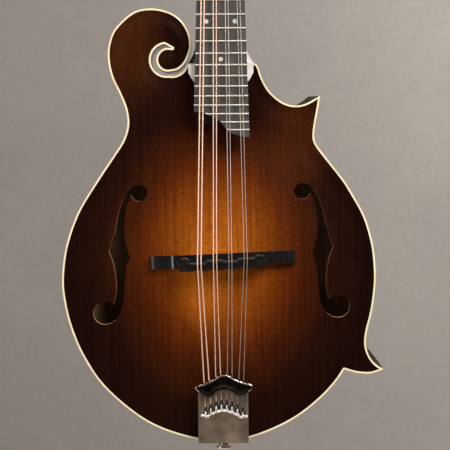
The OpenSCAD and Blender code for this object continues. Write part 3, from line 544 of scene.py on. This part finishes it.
def thickSheet(name, flat, triangles, frontY, backY):
    # a closed plate from a flat filling; front and back depth are given per point, in mm
    used = sorted({i for t in triangles for i in t})
    index = {v: k for k, v in enumerate(used)}
    flat = flat[used]
    triangles = [[index[i] for i in t] for t in triangles]
    front, back = frontY[used], backY[used]
    count = len(flat)
    points = [(x * mm, y * mm, z * mm) for (x, z), y in zip(flat, front)]
    points += [(x * mm, y * mm, z * mm) for (x, z), y in zip(flat, back)]
    faces, sides = [], {}
    for t in triangles:
        a, b, c = flat[t[0]], flat[t[1]], flat[t[2]]
        if (b[0] - a[0]) * (c[1] - a[1]) - (b[1] - a[1]) * (c[0] - a[0]) < 0:
            t = t[::-1]
        faces.append(tuple(t))                       # seen from the front, x right and z up
        faces.append(tuple(i + count for i in t[::-1]))
        for i, j in ((t[0], t[1]), (t[1], t[2]), (t[2], t[0])):
            sides[(i, j)] = sides.get((i, j), 0) + 1
    for i, j in sides:
        if (j, i) not in sides:
            faces.append((j, i, i + count, j + count))
    return newPiece(name, points, faces)


def smoothStep(low, high, x):
    t = np.clip((x - low) / (high - low), 0, 1)
    return t * t * (3 - 2 * t)


arch = {"centre": (-3.0, 138.0), "height": 12.0,
        "reach": [105, 104, 118, 122, 116, 103, 107, 110, 117, 118, 115, 108]}


def archAt(flat):
    # the carved dome, and how far out on it each point lies
    d = flat - np.array(arch["centre"])
    angle = np.degrees(np.arctan2(d[:, 1], d[:, 0])) % 360
    reach = np.array(arch["reach"], float)
    n = len(reach)
    i = np.floor(angle / 30).astype(int) % n
    t = angle / 30 - np.floor(angle / 30)
    a, b, c, e = reach[(i - 1) % n], reach[i], reach[(i + 1) % n], reach[(i + 2) % n]
    r = 0.5 * (2 * b + (c - a) * t + (2 * a - 5 * b + 4 * c - e) * t * t + (3 * b - a - 3 * c + e) * t ** 3)
    s = np.linalg.norm(d, axis=1) / r
    rise = np.where(s < 1, arch["height"] * (1 - np.clip(s, 0, 1) ** 2.2) ** 1.8, 0)
    return rise, s


outerLine = outlinePoints()
bindingLine = insetLine(outerLine, bodyLine["binding"])
frontY = -(bodyLine["rim"] + bodyLine["edge"])

fHole = {"eye": ((-64, 197.7), 6.4), "lobe": ((-91.5, 104.8), 9), "outerNick": [-87.8, 153.2],
         "innerNick": [-71.2, 147.2], "trebleShift": -1.7, "trebleLength": 0.966, "trebleZ": 7.5}


def fHolePoints(steps=7):
    f = fHole
    line = arcRun(*f["eye"], 193, 460, 40)
    line += smoothRun([[-68, 203.4], [-71.5, 201], [-77, 191.5], [-80.7, 180], [-83.2, 167.5],
                       f["outerNick"]], steps)
    line += smoothRun([f["outerNick"], [-84.5, 144], [-82.5, 133], [-82.2, 121], [-84.6, 110.5]], steps)
    line += arcRun(*f["lobe"], 42, 290, 44)
    line += smoothRun([[-86.5, 96.7], [-81.5, 101], [-78, 108.5], [-76.3, 118], [-75.5, 130], [-74, 141],
                       f["innerNick"]], steps)
    line += smoothRun([f["innerNick"], [-73.7, 156], [-75.5, 166], [-75.3, 177.5], [-73.4, 188.5],
                       [-70.4, 195.6]], steps)
    return np.array(line)


def edgeHollow(depth, distance, s):
    # a shallow groove beside the edge, which fades towards the dome
    fade = smoothStep(0.7, 0.95, s) * smoothStep(0, 2, distance)
    return -depth * np.exp(-((distance - 8) / 5) ** 2) * fade


def topCarving(flat, distance):
    # height over the flat border: dome, hollow beside the binding, ridge along the scroll
    rise, s = archAt(flat)
    x, z = flat[:, 0], flat[:, 1]
    scroll = smoothStep(240, 272, z) * smoothStep(-8, -26, x)
    cove = 0.45 * smoothStep(228, 256, z) * smoothStep(14, 34, x)
    w = np.clip(scroll + cove, 0, 1)
    ridge = 2.2 * (1 - np.exp(-(distance / 8) ** 2))
    return rise + w * ridge + (1 - w) * edgeHollow(0.75, distance, s)


def carvedTop():
    bass = fHolePoints()
    mirrored = [[fHole["trebleShift"] - x, fHole["trebleZ"] + z * fHole["trebleLength"]] for x, z in bass]
    treble = np.array(mirrored)[::-1]
    rim = insetLine(outerLine, bodyLine["binding"] + 0.02)
    flat, triangles = fillSheet([rim, bass, treble], 2.4)
    distance = distanceTo(rim, flat)
    rise = topCarving(flat, distance)
    inner = frontY + bodyLine["edge"] - archAt(flat)[0]
    piece = thickSheet("carvedTop", flat, triangles, frontY - rise, inner)
    dress(piece, spruceFinish, "body", "sunburst_spruce", "top_plate")
    piece.data.materials.append(edgeFinish)
    piece.data.materials.append(insideFinish)
    for face in piece.data.polygons:
        if abs(face.normal.y) < 0.4:
            c = face.center
            if distanceTo(rim, np.array([[c.x / mm, c.z / mm]]))[0] > 3:
                face.material_index = 1
        elif face.normal.y > 0:
            face.material_index = 2
    soften(piece, 50)
    return piece


def carvedBack():
    rim = outerLine
    flat, triangles = fillSheet([denser(rim, 2.5)], 3.2, 1.2)
    distance = distanceTo(rim, flat)
    rise, s = archAt(flat)
    outer = -frontY + rise + edgeHollow(0.7, distance, s)
    inner = -(frontY + bodyLine["edge"]) + rise
    piece = thickSheet("carvedBack", flat, triangles, inner, outer)
    dress(piece, backFinish, "body", "stained_maple", "back_plate")
    piece.data.materials.append(insideFinish)
    for face in piece.data.polygons:
        if face.normal.y < -0.4:
            face.material_index = 1
    soften(piece, 50)
    return piece


def edgeBinding():
    flat, triangles = fillSheet([outerLine, bindingLine], 0)
    count = len(flat)
    front, back = np.full(count, frontY), np.full(count, -bodyLine["rim"])
    piece = thickSheet("edgeBinding", flat, triangles, front, back)
    soften(piece, 40)
    return dress(piece, bindingFinish, "body", "ivory_binding", "top_binding")


carvedTop()
carvedBack()
edgeBinding()
print("plates and binding carved")

for name in ("rib_bass", "rib_cove", "rib_waist", "rib_tail"):
    weldedCopy(name, name + "_polished", ribFinish, "body", "stained_maple", degrees=30)
weldedCopy("point_protectors", "pointCaps", capFinish, "body", "dark_plastic", 0.0004)
for name in ("linings", "head_block", "tail_block", "point_blocks", "tone_bars"):
    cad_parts[name].data.materials.clear()
    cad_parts[name].data.materials.append(insideFinish)


# neck, fretboard, headstock

neckPlan = {"tilt": 6.0, "headTilt": 14.0, "jointZ": 297.0, "rise": 10.5, "nutZ": 206.0, "nutLength": 4.8,
            "drop": 3.5, "scale": 358.0}


def turned(p, degrees):
    a = math.radians(degrees)
    return (p[0], p[1] * math.cos(a) + p[2] * math.sin(a), p[2] * math.cos(a) - p[1] * math.sin(a))


def neckPoint(p):
    q = turned(p, neckPlan["tilt"])
    return (q[0], q[1] + frontY - neckPlan["rise"], q[2] + neckPlan["jointZ"])


def headPoint(p):
    q = turned(p, neckPlan["headTilt"])
    return neckPoint((q[0], q[1] + neckPlan["drop"], q[2] + neckPlan["nutZ"] + neckPlan["nutLength"]))


# planes that bound the shoulders painted with a pale reflection, as a place and a direction
shoulderCuts = [((-0.0192, 0, 0), (1, 0, 0)), ((0.0192, 0, 0), (1, 0, 0)), ((0, 0, 0.2785), (0, 0, 1)),
                ((0, 0, 0.2972), (0, 0, 1)), ((0, 0, 0.3155), (0, 0, 1))]
shaft = weldedCopy("neck", "neckShaft", neckFinish, "body", "stained_maple", degrees=32)
shaft.data.materials.append(paintedGlare)
pick(shaft)
bpy.ops.object.mode_set(mode="EDIT")
for place, across in shoulderCuts:
    bpy.ops.mesh.select_all(action="SELECT")
    bpy.ops.mesh.bisect(plane_co=place, plane_no=across)
bpy.ops.object.mode_set(mode="OBJECT")
soften(shaft, 32)
for face in shaft.data.polygons:
    # painted reflection: the shoulders beside the board, where neck and body meet, take a pale colour in
    # place of glare
    at, out = face.center / mm, face.normal
    facing = out.y < -0.35 or abs(out.x) > 0.5
    if abs(at.x) > 17 and 278 < at.z < (316 if at.x > 0 else 297.3) and at.y < -18 and facing:
        face.material_index = 1
weldedCopy("fretboard", "fretboardTop", ebonyFinish, "body", "ebony", 0.0003, 30)
weldedCopy("frets", "fretWires", fretNickel, "body", "nickel_wire", degrees=50)
weldedCopy("headstock_overlay", "headOverlay", blackGloss, "body", "ebony", 0.0004, 30)
weldedCopy("nut", "nutBone", boneFinish, "body", "bone", 0.0002, 30)
weldedCopy("truss_rod_cover", "rodCover", blackGloss, "body", "ebony", 0.0003, 30)
weldedCopy("truss_rod", "trussRod", steelFinish, "body", "steel")
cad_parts["position_dots"].data.materials.clear()
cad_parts["position_dots"].data.materials.append(pearlFinish)

# bridge

weldedCopy("bridge_base", "bridgeBase", bridgeFinish, "body", "ebony", 0.0011, 30, 3)
weldedCopy("bridge_saddle", "bridgeSaddle", bridgeFinish, "saddle", "ebony", 0.0009, 30, 3)
weldedCopy("bridge_studs", "bridgeStuds", steelFinish, "body", "steel")
weldedCopy("thumbwheel_bass", "wheelBass", wheelFinish, "wheel_bass", "wheel_nickel", 0.0002)
weldedCopy("thumbwheel_treble", "wheelTreble", wheelFinish, "wheel_treble", "wheel_nickel", 0.0002)

# tailpiece

tail = {"crown": [[[-21.6, 46.3], [-21.9, 48.6], [-19.8, 50.2], [-14.5, 51.4], [-8.4, 54.4], [-3.4, 57.3],
                   [0.8, 58.6]],
                  [[0.8, 58.6], [4.8, 57.4], [9.4, 54.8], [15.2, 52.4], [21, 51], [23.2, 48.8], [22.6, 46.2]],
                  [[22.6, 46.2], [20.4, 44.4], [17.4, 42.2], [14, 40.4], [10.6, 40.8], [6.6, 43.6],
                   [0.8, 45.6], [-4.6, 43.8], [-8.2, 40.6], [-11.8, 39.2], [-15.8, 41], [-19, 44],
                   [-21.6, 46.3]]],
        "crownBack": frontY - 13.2, "crownHeight": 3.8, "plateFront": frontY - 8.6,
        "hookX": 0.7, "hookPitch": 4.1, "rowTop": 32.5, "rowDrop": 6.3, "rowHalf": 15.5, "beads": 17,
        "beadPitch": 2.12}


def combZ(x):
    # the row of hooks rises to the middle
    return tail["rowTop"] - tail["rowDrop"] * (abs(x) / tail["rowHalf"]) ** 1.6


def tailPlate():
    piece = bpy.data.objects.new("tailpiecePlate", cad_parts["tailpiece"].data.copy())
    bpy.context.collection.objects.link(piece)
    cut = (tail["crownBack"] - 0.02) * mm + 0.00004      # the CAD crown is cut off, its own piece follows
    pick(piece)
    bpy.ops.object.mode_set(mode="EDIT")
    bpy.ops.mesh.select_all(action="SELECT")
    bpy.ops.mesh.remove_doubles(threshold=weld["gap"])
    bpy.ops.mesh.bisect(plane_co=(0, cut, 0), plane_no=(0, 1, 0), clear_inner=True, use_fill=True)
    bpy.ops.mesh.select_all(action="SELECT")
    bpy.ops.mesh.dissolve_limited(angle_limit=math.radians(weld["flatWithin"]))
    bpy.ops.object.mode_set(mode="OBJECT")
    roundEdges(piece, 0.00035, 2, 50)
    soften(piece, 30)
    evenShading(piece)
    dress(piece, satinNickel, "body", "nickel", "tailpiece")
    piece.data.materials.append(slotShade)
    # painted shade: faces inside the window, behind the hooks, take the dark slot colour
    for face in piece.data.polygons:
        at = face.center / mm
        inWindow = abs(at.x) < 17.5 and combZ(at.x) - 3.2 < at.z < combZ(at.x) + 8 and at.z < 41
        if inWindow and at.y > tail["plateFront"] + 0.3:
            face.material_index = 1
    return piece


def tailCrown():
    # crown: a rolled edge around a shallow dome; the dome is nickel in painted shade and the upper edge and
    # ends carry a painted highlight
    line = []
    for run in tail["crown"]:
        line += smoothRun(run, 8)
    line = denser(np.array(line), 0.5)
    flat, triangles = fillSheet([line], 0.7, 0.3)
    distance = distanceTo(line, flat)
    lift = tail["crownHeight"] * (0.6 * np.sqrt(1 - (1 - np.clip(distance / 1.3, 0, 1)) ** 2)
                                  + 0.08 * smoothStep(1.2, 5.5, distance))
    lift += 0.5 * np.exp(-((distance - 0.95) / 0.5) ** 2) * smoothStep(40, 50, flat[:, 1])
    back = np.full(len(flat), tail["crownBack"])
    piece = thickSheet("tailpieceCrown", flat, triangles, back - 0.05 - lift, back)
    soften(piece, 60)
    dress(piece, crownShadedNickel, "body", "nickel")
    piece.data.materials.append(brightNickel)
    centres = np.array([[face.center.x / mm, face.center.z / mm] for face in piece.data.polygons])
    near = distanceTo(line, centres)
    # painted highlight: edge faces along the top and at the ends take bright nickel
    for face, gap, (x, z) in zip(piece.data.polygons, near, centres):
        if gap < 1.25 and (z > 49.6 - 0.012 * x * x + 0.16 * max(0, 20 - abs(x)) or abs(x - 0.8) > 19.4):
            face.material_index = 1
    return piece


def hookRow():
    # rounded fingers that hold the string loops, one stretched from a sphere and copied
    bpy.ops.mesh.primitive_uv_sphere_add(segments=24, ring_count=16, radius=1)
    finger = bpy.context.object
    for vertex in finger.data.vertices:
        x, y, z = vertex.co
        vertex.co = (x * 0.72 * mm, y * 0.9 * mm, (z * (3.6 if z > 0 else 2.2)) * mm)
    fingers = []
    for i in range(8):
        x = tail["hookX"] + tail["hookPitch"] * (i - 3.5)
        copy = finger if i == 7 else bpy.data.objects.new("finger", finger.data.copy())
        if i != 7:
            bpy.context.collection.objects.link(copy)
        copy.location = (x * mm, (tail["plateFront"] - 0.5) * mm, (combZ(x) - 1.9) * mm)
        fingers.append(copy)
    # beads along the lower edge of the hooks, nickel with a painted highlight
    half = tail["beads"] // 2
    for k in range(tail["beads"]):
        x = tail["hookX"] + tail["beadPitch"] * (k - half)
        curl = 1.6 * max(0, abs(k - half) - 6)      # the row's ends turn up
        bpy.ops.mesh.primitive_uv_sphere_add(segments=16, ring_count=10, radius=1, location=(
            x * mm, (tail["plateFront"] - 0.15) * mm, (combZ(x) - 3.4 + 0.35 * (k % 2) + curl) * mm))
        bead = bpy.context.object
        bead.scale = (1.4 * mm, 1.1 * mm, 1.25 * mm)
        pick(bead)
        bpy.ops.object.transform_apply(location=False, rotation=False, scale=True)
        fingers.append(bead)
    row = joinAll(fingers, "loopHooks")
    settle(row)
    soften(row, 60)
    return dress(row, hookNickelGlint, "body", "nickel")


def slotRow():
    # painted shade: thin dark teardrop sheets above the hooks, where the slots lie in shadow
    drops = []
    for i in range(8):
        x = tail["hookX"] + tail["hookPitch"] * (i - 3.5)
        bpy.ops.mesh.primitive_cylinder_add(vertices=28, radius=1, depth=0.00016)
        drop = bpy.context.object
        for vertex in drop.data.vertices:
            u, v, w = vertex.co
            vertex.co = (u * (1.6 - 0.75 * max(0, v)) * mm, w, v * (4.4 if v > 0 else 3.4) * mm)
        drop.location = (x * mm, (tail["plateFront"] - 0.06) * mm, (combZ(x) + 0.6) * mm)
        drops.append(drop)
    row = joinAll(drops, "slotShadowSheets")
    settle(row)
    fixNormals(row)
    soften(row, 40)
    return dress(row, slotShade, "body", "nickel")


tailPlate()
tailCrown()
slotRow()
hookRow()
weldedCopy("tailpiece_screws", "tailScrews", steelFinish, "body", "steel", 0.0001)
weldedCopy("end_pin", "endPin", brightNickel, "body", "nickel", 0.0003)

# tuners

for side in ("bass", "treble"):
    weldedCopy("tuner_plate_" + side, "tunerPlate_" + side, satinNickel, "body", "nickel", 0.0002, 30)
weldedCopy("tuner_screws", "tunerScrews", steelFinish, "body", "steel", 0.0001)
weldedCopy("post_bushings", "postBushings", brightNickel, "body", "nickel", 0.0002)
for i in range(1, 9):
    weldedCopy(f"tuner_{i}_post", f"stringPost_{i}", brightNickel, f"post_{i}", "nickel", 0.0)
    weldedCopy(f"tuner_{i}_worm", f"wormShaft_{i}", brightNickel, f"worm_{i}", "nickel", 0.0)
    weldedCopy(f"tuner_{i}_button", f"tunerButton_{i}", buttonFinish, f"worm_{i}", "button", 0.0, 60)
print("CAD pieces dressed")

# strings

strings = {"nutX": [-11.7, -9.5, -4.6, -2.4, 2.4, 4.6, 9.5, 11.7],
           "saddleX": [-18.8, -16.1, -6.7, -4.2, 5.1, 7.4, 16.7, 19.1],
           "radius": [0.52, 0.52, 0.38, 0.38, 0.24, 0.24, 0.2, 0.2], "hookDepth": 1.0,
           "post": [0, 1, 2, 3, 7, 6, 5, 4], "wrapY": -4.4, "skew": 2.2, "saddleRise": 4.1,
           "crestShift": [-1.5, 0.2, -0.9, 0.7], "firstPost": 36, "postPitch": 23, "postX": 21,
           "postRadius": 3}


def wireRun(name, stops, radius, sides=12):
    # a curve through the stops, given thickness and made a mesh
    curve = bpy.data.curves.new(name, "CURVE")
    curve.dimensions = "3D"
    spline = curve.splines.new("POLY")
    spline.points.add(len(stops) - 1)
    for point, stop in zip(spline.points, stops):
        point.co = (*[c * mm for c in stop], 1)
    curve.bevel_depth = radius * mm
    curve.bevel_resolution = 2
    curve.use_fill_caps = True
    piece = bpy.data.objects.new(name, curve)
    bpy.context.collection.objects.link(piece)
    pick(piece)
    bpy.ops.object.convert(target="MESH")
    return bpy.context.object


def between(start, end, count=8):
    # even stops along a straight run
    start, end = np.array(start), np.array(end)
    return [tuple(start + (end - start) * t) for t in np.linspace(0, 1, count)]


def stringStops(i):
    s = strings
    r = s["radius"][i]
    hookX = tail["hookX"] + tail["hookPitch"] * (i - 3.5)
    saddleTop = neckPoint((0, -s["saddleRise"], neckPlan["nutZ"] - neckPlan["scale"]))
    slant = math.tan(math.radians(s["skew"])) * s["saddleX"][i]
    saddle = (s["saddleX"][i], saddleTop[1] - r, saddleTop[2] + slant + s["crestShift"][i // 2])
    hook = (hookX, tail["plateFront"] + s["hookDepth"], combZ(hookX) + 1.3 + 1.6 * r)
    nut = neckPoint((s["nutX"][i], -1.3 - r, neckPlan["nutZ"] + 1.5))
    nutBack = neckPoint((s["nutX"][i], -1.15 - r, neckPlan["nutZ"] + neckPlan["nutLength"] - 0.3))
    post = s["post"][i]
    side = -1 if post < 4 else 1
    postZ = s["firstPost"] + s["postPitch"] * (post % 4)
    end = headPoint((side * (s["postX"] - s["postRadius"] - r - 0.08), s["wrapY"], postZ))
    return hook, saddle, nut, nutBack, end, post, side, postZ


for kind, indices, material, slotName, node in (
        ("Wound", range(0, 4), windingFinish, "bronze_wire", "strings_wound"),
        ("Plain", range(4, 8), wireFinish, "steel_wire", "strings_plain")):
    low, high, head = [], [], []
    for i in indices:
        hook, saddle, nut, nutBack, end, post, side, postZ = stringStops(i)
        r = strings["radius"][i]
        low.append(wireRun("lowRun", between(hook, saddle), r))
        high.append(wireRun("highRun", between(saddle, nut), r))
        head.append(wireRun("headRun", [nut, nutBack, end], r))
        turns = []
        for k in range(0, 3 * 24 + 1):
            a = 2 * math.pi * k / 24
            reach = strings["postRadius"] + 0.08 + r
            local = (side * strings["postX"] + reach * math.cos(a),
                     strings["wrapY"] + 2 * r * (k / 24 - 1.5), postZ + reach * math.sin(a))
            turns.append(headPoint(local))
        coil = wireRun(f"postCoil_{post + 1}", turns, r)
        soften(coil, 60)
        dress(coil, material, f"post_{post + 1}", slotName)
        loop = []
        for k in range(25):
            a = 2 * math.pi * k / 24
            loop.append((hook[0] + (1.25 + 0.8 * r) * math.sin(a), hook[1],
                         hook[2] - 1.3 - 1.6 * r + (1.25 + 0.8 * r) * math.cos(a)))
        head.append(wireRun("loopEnd", loop, 0.8 * r))
    for pieces, name, at in ((low, "low", (stringStops(indices[0])[0], stringStops(indices[0])[1])),
                             (high, "high", (stringStops(indices[0])[2], stringStops(indices[0])[1]))):
        piece = joinAll(pieces, "strings" + kind + "_" + name)
        soften(piece, 60)
        piece.data.materials.clear()
        piece.data.materials.append(material)
        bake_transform(piece)
    rest = joinAll(head, "strings" + kind + "_ends")
    soften(rest, 60)
    dress(rest, material, "body", slotName, node)
print("strings strung")

# room, light and camera

room = {"wallY": 3.3, "wallZ": 1.2, "floorZ": -0.75, "size": 16}
bpy.ops.mesh.primitive_plane_add(size=room["size"], location=(0, room["wallY"], room["wallZ"]),
                                 rotation=(math.radians(90), 0, 0))
wall = bpy.context.object
wall.name = "wall"
settle(wall)
wall.data.materials.append(wallPaper("grey wall", [(0.3, (157, 151, 147)), (0.7, (166, 160, 155))], 0.6))
bpy.ops.mesh.primitive_plane_add(size=room["size"],
                                 location=(0, room["wallY"] - room["size"] / 2, room["floorZ"]))
floor = bpy.context.object
floor.name = "floor"
settle(floor)
floor.data.materials.append(wallPaper("pale floor", [(0.3, (196, 188, 180)), (0.7, (206, 198, 190))], 0.5))


def softbox(name, location, target, size, power, colour=(1, 1, 1)):
    light = bpy.data.lights.new(name, "AREA")
    light.shape = "RECTANGLE"
    light.size, light.size_y = size
    light.energy = power
    light.color = colour
    lamp = bpy.data.objects.new(name, light)
    bpy.context.collection.objects.link(lamp)
    lamp.location = location
    lamp.rotation_euler = (Vector(target) - Vector(location)).to_track_quat("-Z", "Y").to_euler()
    return lamp


softbox("keyLight", (1.0, -1.15, 1.4), (0.05, 0, 0.24), (1.0, 1.0), 50, (1.0, 0.98, 0.955))
softbox("fillLight", (-1.6, -1.2, 0.5), (0, 0, 0.16), (1.0, 1.4), 19, (1.0, 0.98, 0.96))
softbox("topLight", (0.1, -0.4, 1.6), (0, 0.05, 0.2), (1.2, 0.5), 10, (1.0, 0.98, 0.97))

softbox("backLight", (-1.3, 1.5, 1.1), (0, 0, 0.3), (1.2, 1.2), 42, (1.0, 0.98, 0.96))
softbox("wallLight", (1.7, 1.7, 1.5), (0.9, 3.3, 0.9), (0.8, 0.8), 60, (1.0, 0.97, 0.94))

world = bpy.data.worlds.new("studio")
world.use_nodes = True
world.node_tree.nodes["Background"].inputs[0].default_value = (1.0, 0.97, 0.93, 1)
world.node_tree.nodes["Background"].inputs[1].default_value = 0.04
bpy.context.scene.world = world
bpy.context.scene.view_settings.view_transform = "Standard"

camera = {"location": (0.002313, -1.4225, 0.226437), "pitch": 2.2089, "roll": -0.4, "lens": 144.72}
lens = bpy.data.cameras.new("camera")
lens.lens = camera["lens"]
lens.sensor_width = 36
lens.clip_end = 20
eye = bpy.data.objects.new("camera", lens)
bpy.context.collection.objects.link(eye)
tip = Matrix.Rotation(math.radians(90 - camera["pitch"]), 4, "X")
roll = Matrix.Rotation(math.radians(camera["roll"]), 4, "Z")
eye.matrix_world = Matrix.Translation(camera["location"]) @ tip @ roll
bpy.context.scene.camera = eye

print("scene ready")
